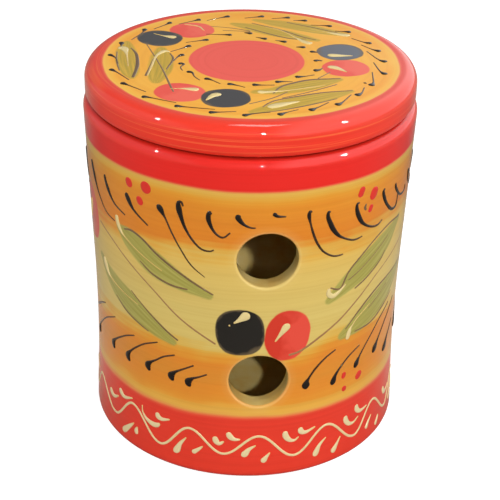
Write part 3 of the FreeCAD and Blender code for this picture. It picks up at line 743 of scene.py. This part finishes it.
def bare_clay():
    """Unglazed fired earthenware of the foot ring: dry, matt and sandy."""
    material, tree, shader = new_material("Bare earthenware, foot")
    place = own_place(tree)
    grain = noise(tree, place, 900.0, 4.0)
    patch = noise(tree, place, 60.0, 3.0)
    clay = ramp(tree, patch, [(0.3, "#A9633F"), (0.7, "#C07F58")])
    sand = spread(tree, grain, 0.6, 0.75, 0.0, 0.5)
    tree.links.new(layer(tree, clay, linear("#D6A582"), sand), shader.inputs["Base Color"])
    pits = add_node(tree, "ShaderNodeBump", {"Height": grain, "Strength": 0.5, "Distance": 0.0003})
    tree.links.new(pits.outputs[0], shader.inputs["Normal"])
    shader.inputs["Roughness"].default_value = 0.85
    return material


def slip(name, thick, thin):
    """Trailed slip fired under the glaze: dense where it stands high, stained where it runs thin."""
    material, tree, shader = new_material(name)
    place = own_place(tree)
    load = held(tree, "slip_load")
    grain = noise(tree, place, 900.0, 3.0)
    load = maths(tree, "MULTIPLY_ADD", grain, 0.5, load)
    dense = spread(tree, load, 0.45, 0.95)
    tree.links.new(layer(tree, linear(thin), linear(thick), dense), shader.inputs["Base Color"])
    glaze_skin(tree, shader, place, 0.03)
    return material


def walk(start, end):
    """Row numbers from one to another, in either direction, without the last."""
    return range(start, end, 1 if end > start else -1)


def vent_rings(borders, turn, height):
    """The rings of one vent between its outer and inner border, and the material of the band before each.

    An offset is (millimetres across the vent, millimetres above its middle); place() lays it on the wall, at
    an inset from the outer skin and with a further drop inwards.
    """
    angle = math.radians(turn)
    lateral = np.array([math.cos(angle), math.sin(angle)])
    inward = np.array([math.sin(angle), -math.cos(angle)])
    rings, finishes = [], []
    offsets = [np.stack([border[:, :2] @ lateral, border[:, 2] - height], 1) for border in borders]
    heading = np.arctan2(offsets[0][:, 1], offsets[0][:, 0])
    unit = np.stack([np.cos(heading), np.sin(heading)], 1)

    def place(offset, inset, drop):
        upright = height + offset[:, 1]
        deep = np.sqrt(wall_radius(upright, inset) ** 2 - offset[:, 0] ** 2) - drop
        flat = deep[:, None] * inward + offset[:, :1] * lateral
        return np.column_stack([flat, upright])

    edge, bands = VENT_RADIUS + VENT_ROUND, 8
    for share in np.linspace(0, 1, bands)[1:]:
        rings.append(place(offsets[0] * (1 - share) + unit * edge * share, 0.0, 0.0))
        finishes.append(0)
    rounding = np.radians(np.linspace(0, 90, 6))[1:]
    for part in rounding:
        rings.append(place(unit * (edge - VENT_ROUND * math.sin(part)), 0.0,
                           VENT_ROUND * (1 - math.cos(part))))
        finishes.append(0)
    outside = place(unit * VENT_RADIUS, 0.0, VENT_ROUND)
    within = place(unit * VENT_RADIUS, WALL, -VENT_ROUND)
    for share in np.linspace(0, 1, bands)[1:]:
        rings.append(outside * (1 - share) + within * share)
        finishes.append(1)
    for part in rounding[::-1][1:].tolist() + [0.0]:
        rings.append(place(unit * (edge - VENT_ROUND * math.sin(part)), WALL,
                           -VENT_ROUND * (1 - math.cos(part))))
        finishes.append(1)
    for share in np.linspace(1, 0, bands)[1:-1]:
        rings.append(place(offsets[1] * (1 - share) + unit * edge * share, WALL, 0.0))
        finishes.append(1)
    return rings, finishes


def wall_values(points):
    """Each point's depth in a leaf or olive, its place along or across it, and its gap to a vent."""
    flat = np.stack([np.arctan2(points[:, 0], -points[:, 1]) * ARC, points[:, 2]], 1)
    around = 2 * np.pi * ARC
    inside, along, across = brushed(flat, laid_flat(both_halves(LEAVES)), around)

    def ovals(dabs):
        return [(math.radians(t + half) * ARC, *rest) for t, *rest in dabs for half in (0, 180)]

    gaps = []
    for turn, height in VENTS:
        off = (flat[:, 0] - math.radians(turn) * ARC + around / 2) % around - around / 2
        gaps.append(np.hypot(off, flat[:, 1] - height) - VENT_RADIUS)
    red_inside, red_across = dabbed(flat, ovals(RED_OLIVES), around)
    return {"leaf_inside": inside, "leaf_along": along, "leaf_across": across,
            "black_olive": dabbed(flat, ovals(BLACK_OLIVES), around)[0],
            "red_olive": red_inside, "red_across": red_across, "vent_gap": np.minimum(*gaps)}



def make_pot(materials):
    """The pot as one closed skin: foot, wall, shoulder, mouth, inside and floor, with two punched vents.

    Round each vent a square block of the wall is replaced by rings that run from the block's border to
    the hole, over its rounded edge, down the tunnel and out again to the same border inside. A block is
    tall rows by twice wide columns.
    The paint reaches lap rows under the wall's foot and the straw glaze lap rows over the mouth's edge.
    """
    block_half, tall, wide, lap = 16, 30, 15, 4
    foot_radius = float(wall_radius(0.0))
    ring_inner = foot_radius - FOOT_RING
    bottom = float(wall_radius(FOOT_ROUND))
    outer_heights = FOOT_ROUND + (RIM_HEIGHT - SHOULDER_ROUND - FOOT_ROUND) * np.linspace(0, 1, 123)
    outer = np.stack([wall_radius(outer_heights), outer_heights], 1)
    blocks = [int(np.abs(outer_heights - (height - block_half)).argmin()) for _, height in VENTS]
    kept = [outer_heights[at:at + tall + 1] for at in blocks]
    floor_edge = FLOOR_HEIGHT + FLOOR_ROUND
    spans = [np.linspace(floor_edge, kept[0][0], 9)[:-1], kept[0],
             np.linspace(kept[0][-1], kept[1][0], 9)[1:-1], kept[1],
             np.linspace(kept[1][-1], RIM_HEIGHT - MOUTH_ROUND, 11)[1:]]
    inner_heights = np.concatenate(spans)[::-1]
    inner = np.stack([wall_radius(inner_heights, WALL), inner_heights], 1)
    shoulder, mouth = outer[-1, 0] - SHOULDER_ROUND, inner[0, 0] + MOUTH_ROUND
    foot = np.vstack([
        [[0, FOOT_RECESS]], run((0, FOOT_RECESS), (ring_inner - FOOT_RECESS, FOOT_RECESS), 9),
        run((ring_inner - FOOT_RECESS, FOOT_RECESS), (ring_inner, 0), 2),
        run((ring_inner, 0), (bottom - FOOT_ROUND, 0), 3),
        bend((bottom - FOOT_ROUND, FOOT_ROUND), (FOOT_ROUND, FOOT_ROUND), -90, 0, 8)[1:-1]])
    top = np.vstack([
        bend((shoulder, RIM_HEIGHT - SHOULDER_ROUND), (SHOULDER_ROUND, SHOULDER_ROUND), 0, 90, 9)[1:],
        run((shoulder, RIM_HEIGHT), (mouth, RIM_HEIGHT), 2),
        bend((mouth, RIM_HEIGHT - MOUTH_ROUND), (MOUTH_ROUND, MOUTH_ROUND), 90, 180, 6)[1:-1]])
    base = inner[-1, 0] - FLOOR_ROUND
    floor = np.vstack([bend((base, floor_edge), (FLOOR_ROUND, FLOOR_ROUND), 0, -90, 8)[1:],
                       run((base, FLOOR_HEIGHT), (0, FLOOR_HEIGHT), 10)])
    profile = np.vstack([foot, outer, top, inner, floor])
    points, quads, fans = closed_turning(profile)
    outer_start = len(foot) - 1
    inner_start = outer_start + len(outer) + len(top)
    row_finish = np.zeros(len(quads), int)
    row_finish[:outer_start - lap] = 2
    row_finish[inner_start - lap:] = 1
    finish = np.repeat(row_finish[:, None], COLUMNS, 1)
    keep = np.ones(finish.shape, bool)
    extra, extra_quads, extra_finish = [], [], []
    count = len(points)
    inner_rows = {float(h): inner_start + k for k, h in enumerate(inner_heights)}
    for (turn, height), at, heights in zip(VENTS, blocks, kept):
        middle = int(round(turn * COLUMNS / 360))
        columns = (middle - wide, middle + wide)
        out_rows = (outer_start + at, outer_start + at + tall)
        in_rows = (inner_rows[float(heights[0])], inner_rows[float(heights[-1])])
        borders = []
        for rows in (out_rows, in_rows):
            low, high = rows
            first, last = columns
            ring = ([(low, c) for c in range(first, last)] + [(r, last) for r in walk(low, high)]
                    + [(high, c) for c in range(last, first, -1)] + [(r, first) for r in walk(high, low)])
            borders.append(np.array([r * COLUMNS + c % COLUMNS for r, c in ring]))
            for column in range(first, last):
                keep[min(rows):max(rows), column % COLUMNS] = False
        rings, finishes = vent_rings([points[border] for border in borders], turn, height)
        numbers = [borders[0]]
        for ring in rings:
            extra.append(ring)
            numbers.append(count + np.arange(len(ring)))
            count += len(ring)
        numbers.append(borders[1])
        finishes.append(1)
        for before, after, kind in zip(numbers, numbers[1:], finishes):
            extra_quads.append(ring_quads(before, after))
            extra_finish.append(np.full(len(before), kind))
    points = np.vstack([points] + extra)
    faces = [quads[keep], np.vstack(extra_quads), fans[0], fans[1]]
    finish = np.concatenate([finish[keep], np.concatenate(extra_finish), np.full(COLUMNS, 2),
                             np.full(COLUMNS, 1)])
    return make_piece("pot", "jar", points, faces, materials, finish, wall_values(points))


def make_lid(materials):
    """The lid as one closed skin: ceiling, ring, underside, rounded edge and the flat painted top."""
    below = np.vstack([
        [[0, LID_CEILING]], run((0, LID_CEILING), (RING_INNER, LID_CEILING), 10),
        run((RING_INNER, LID_CEILING), (RING_INNER, RING_BOTTOM + RING_ROUND), 5),
        bend((RING_INNER + RING_ROUND, RING_BOTTOM + RING_ROUND), (RING_ROUND, RING_ROUND), 180, 270, 6)[1:],
        bend((RING_OUTER - RING_ROUND, RING_BOTTOM + RING_ROUND), (RING_ROUND, RING_ROUND), 270, 360, 6),
        run((RING_OUTER, RING_BOTTOM + RING_ROUND), (RING_OUTER, RIM_HEIGHT), 4),
        run((RING_OUTER, RIM_HEIGHT), (LID_RADIUS - LID_UNDER_ROUND, RIM_HEIGHT), 3)])
    profile = np.vstack([below, bend((LID_RADIUS - LID_UNDER_ROUND, RIM_HEIGHT + LID_UNDER_ROUND),
                                     (LID_UNDER_ROUND, LID_UNDER_ROUND), -90, 0, 10)[1:],
                                     run((LID_RADIUS, RIM_HEIGHT + LID_UNDER_ROUND),
                                         (LID_RADIUS, LID_TOP - LID_TOP_ROUND), 5),
                                         bend((LID_RADIUS - LID_TOP_ROUND, LID_TOP - LID_TOP_ROUND),
                                              (LID_TOP_ROUND, LID_TOP_ROUND), 0, 90, 13)[1:],
                                              run((LID_RADIUS - LID_TOP_ROUND, LID_TOP), (0, LID_TOP), 72)])
    points, quads, fans = closed_turning(profile)
    finish = np.repeat((np.arange(len(quads)) < len(below) - 1).astype(int)[:, None], COLUMNS, 1)
    flat = points[:, :2].copy()
    inside, along, across = brushed(flat, LID_LEAVES)
    red_inside, red_across = dabbed(flat, LID_RED_OLIVES)
    values = {"leaf_inside": inside, "leaf_along": along, "leaf_across": across,
              "black_olive": dabbed(flat, LID_BLACK_OLIVES)[0], "red_olive": red_inside,
              "red_across": red_across}
    finish = np.concatenate([finish.ravel(), np.ones(COLUMNS, int), np.zeros(COLUMNS, int)])
    return make_piece("lid_top", "lid", points, [quads.reshape(-1, 4), fans[0], fans[1]],
                      materials, finish, values)


def foot_vine():
    """The vine round the foot: a cosine wave from each valley to the next crest, on round the back.

    Between two turning points the height goes over by (1 - cos(pi t)) / 2, for t from 0 to 1. Returns the
    vine's path and the degrees of the crests behind.
    """
    front_end, back_end = VINE[-1][0], VINE[0][0] + 360
    step = (back_end - front_end) / BACK_PERIODS
    back = []
    for k in range(BACK_PERIODS):
        valley = front_end + step * k
        if k:
            back.append((valley + rng.normal(0, 0.8), BACK_VALLEY + rng.normal(0, 0.6)))
        back.append((valley + step * 0.48 + rng.normal(0, 0.8), BACK_CREST + rng.normal(0, 0.7)))
    turns = VINE + back + [(back_end, VINE[0][1])]
    line = []
    for (turn, height), (next_turn, next_height) in zip(turns, turns[1:]):
        for t in np.arange(6) / 6:
            line.append((turn + (next_turn - turn) * t,
                         height + (next_height - height) * (1 - math.cos(math.pi * t)) / 2, VINE_HALF))
    middle = (BACK_VALLEY + BACK_CREST) / 2
    return line + [(*turns[-1], VINE_HALF)], [turn for turn, height in back if height > middle]


def soft_lamp(name, turn, elevation, distance, side, watts):
    """A square soft box that looks at the middle of the keeper from a turn and elevation in degrees."""
    data = bpy.data.lights.new(name, "AREA")
    data.shape, data.size, data.energy = "SQUARE", side, watts
    lamp = bpy.data.objects.new(name, data)
    turn, elevation = math.radians(turn), math.radians(elevation)
    target = Vector((0, 0, 0.08))
    away = Vector((math.sin(turn) * math.cos(elevation), -math.cos(turn) * math.cos(elevation),
                   math.sin(elevation)))
    lamp.location = target + away * distance
    lamp.rotation_euler = away.to_track_quat("Z", "Y").to_euler()
    bpy.context.scene.collection.objects.link(lamp)


def studio_floor():
    """White studio paper that glows a little to the camera, so it reads as white and keeps the shadow."""
    white, tree, shader = new_material("White studio paper")
    shader.inputs["Roughness"].default_value = 0.9
    seen = add_node(tree, "ShaderNodeLightPath")
    glow = maths(tree, "MULTIPLY", seen.outputs["Is Camera Ray"], 0.74)
    # In the glaze the floor is dim in front of the keeper, and white close beside it, far behind and far
    # out at its sides.
    place = own_place(tree)
    spot = add_node(tree, "ShaderNodeSeparateXYZ", {0: place})
    aside = maths(tree, "ABSOLUTE", spot.outputs["X"])
    aside = spread(tree, aside, 0.26, 0.8, 0.0, 0.8)
    behind = spread(tree, spot.outputs["Y"], 0.16, 0.36, 0.0, 0.45)
    away = add_node(tree, "ShaderNodeVectorMath", {0: place}, operation="LENGTH").outputs["Value"]
    close = spread(tree, away, 0.1, 0.3, 0.55, 0.0)
    sideways = spread(tree, spot.outputs["Y"], -0.05, 0.02)
    close = maths(tree, "MULTIPLY", close, sideways)
    aside = maths(tree, "MAXIMUM", aside, behind)
    aside = maths(tree, "MAXIMUM", aside, close)
    in_glaze = layer(tree, linear("#5A5A5A"), linear("#FFEBD2"), aside)
    paper = layer(tree, linear("#C8C8C8"), in_glaze, seen.outputs["Is Glossy Ray"])
    tree.links.new(paper, shader.inputs["Base Color"])
    shader.inputs["Emission Color"].default_value = (1, 1, 1, 1)
    tree.links.new(glow, shader.inputs["Emission Strength"])
    floor_mesh = bpy.data.meshes.new("studio_floor")
    half, sunk = 6, 0.0001
    corners = [(-half, -half, -sunk), (half, -half, -sunk), (half, half, -sunk), (-half, half, -sunk)]
    floor_mesh.from_pydata(corners, [], [(0, 1, 2, 3)])
    floor_mesh.materials.append(white)
    floor = bpy.data.objects.new("studio_floor", floor_mesh)
    bpy.context.scene.collection.objects.link(floor)
    return floor


def studio_sky():
    """White to the camera; the glaze mirrors a dim room, a bright screen to the right and a paler left."""
    world = bpy.data.worlds.new("White studio")
    world.use_nodes = True
    tree = world.node_tree
    tree.nodes.clear()
    path = add_node(tree, "ShaderNodeLightPath")
    heading_x = add_node(tree, "ShaderNodeSeparateXYZ", {0: add_node(
        tree, "ShaderNodeTexCoord").outputs["Generated"]}).outputs["X"]
    screen = spread(tree, heading_x, 0.1, 0.38, 0.24, 1.5, interpolation_type="SMOOTHSTEP")
    left_side = spread(tree, heading_x, -0.55, -0.75, 0.0, 0.4, interpolation_type="SMOOTHSTEP")
    mirrored = maths(tree, "ADD", screen, left_side)
    level = add_node(tree, "ShaderNodeMix",
                     {0: path.outputs["Is Glossy Ray"], 2: 0.45, 3: mirrored}).outputs[0]
    level = maths(tree, "MAXIMUM", level, path.outputs["Is Camera Ray"])
    backdrop = add_node(tree, "ShaderNodeBackground", {"Color": (1, 1, 1, 1), "Strength": level})
    add_node(tree, "ShaderNodeOutputWorld", {"Surface": backdrop.outputs[0]})
    bpy.context.scene.world = world


def photo_camera():
    """The camera of the photograph's view."""
    camera_data = bpy.data.cameras.new("camera")
    camera_data.sensor_width = SENSOR
    camera_data.lens = LENS
    camera_data.clip_start = 0.01
    camera = bpy.data.objects.new("camera", camera_data)
    turn_about = (Matrix.Rotation(-math.radians(HEADING), 4, "Z")
                  @ Matrix.Rotation(math.pi / 2 - math.radians(TILT), 4, "X")
                  @ Matrix.Rotation(math.radians(ROLL), 4, "Z"))
    camera.matrix_world = Matrix.Translation(Vector(CAMERA_PLACE) * MM) @ turn_about
    bpy.context.scene.collection.objects.link(camera)
    bpy.context.scene.camera = camera
    bpy.context.scene.view_settings.view_transform = "Standard"


straw, clay = inside_glaze(), bare_clay()
pot = make_pot([wall_paint(), straw, clay])
lid = make_lid([lid_paint(), straw])
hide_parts("jar")
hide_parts("lid")

black = slip("Black slip under glaze", "#1A120A", "#5A3A1C")
cream = slip("Cream slip under glaze", "#DEC88A", "#D6B062")
pale = slip("Pale cream slip under glaze", "#E2CF9C", "#E2B768")
brown = slip("Brown slip under glaze", "#6B5238", "#8A6A44")
stem = slip("Thin brown brushed line under glaze", "#9A6B45", "#A8804E")
red = slip("Red slip under glaze", "#D62E20", "#DA4029")
for name, marks, colour, rise, samples in [
        ("pot_black_strokes", BLACK_STROKES, black, 0.55, 34),
        ("pot_brown_lines", BROWN_LINES, brown, 0.2, 34),
        ("pot_stems", STEMS, stem, 0.14, 34),
        ("pot_cream_strokes", CREAM_STROKES, cream, 0.5, 34),
        ("pot_red_dots", RED_DOTS, red, 0.2, 18)]:
    raised_marks(name, "jar", laid_flat(both_halves(marks)), on_wall, colour, rise, samples)
vine, crests = foot_vine()
back_marks = []
for crest in crests[:-1]:
    back_marks += [[(crest - 4.5, 7.5, 1.15), (crest - 2, 10.5, .8), (crest + 1.5, 15.6, .25)],
                   [(crest + 3.4, 7.8, .95), (crest + 5, 10, .6), (crest + 7.4, 13.4, .25)]]
for crest in crests[1:-1]:
    back_marks += [[(crest + 8, 21.6, .9), (crest + 9.8, 17.4, .6), (crest + 13.6, 18, .25)],
                   [(crest + 14.4, 22.2, .9), (crest + 16, 19, .6), (crest + 20, 19.4, .25)]]
raised_marks("pot_foot_vine", "jar", laid_flat([vine]), on_wall, pale, 0.4, 900)
raised_marks("pot_foot_marks", "jar", laid_flat(FOOT_DROPS + FOOT_COMMAS + back_marks), on_wall,
             pale, 0.4, 22)
commas = [[(x, y, half) for x, y in places] for half, *places in LID_COMMAS]
raised_marks("lid_black_commas", "lid", commas, on_lid, black, 0.45, pressed=True)
raised_marks("lid_cream_strokes", "lid", LID_CREAM, on_lid, cream, 0.4)
raised_marks("lid_brown_lines", "lid", LID_BROWN, on_lid, brown, 0.22)

floor = studio_floor()

studio_sky()
soft_lamp("key_lamp", 2.7, 29, 1.3, 0.035, 7.5)
soft_lamp("right_lamp", 66, 38, 1.4, 0.07, 5.9)
soft_lamp("left_lamp", -76, 38, 1.4, 0.05, 3.5)
soft_lamp("top_lamp", 150, 84, 1.2, 0.3, 2.0)

photo_camera()
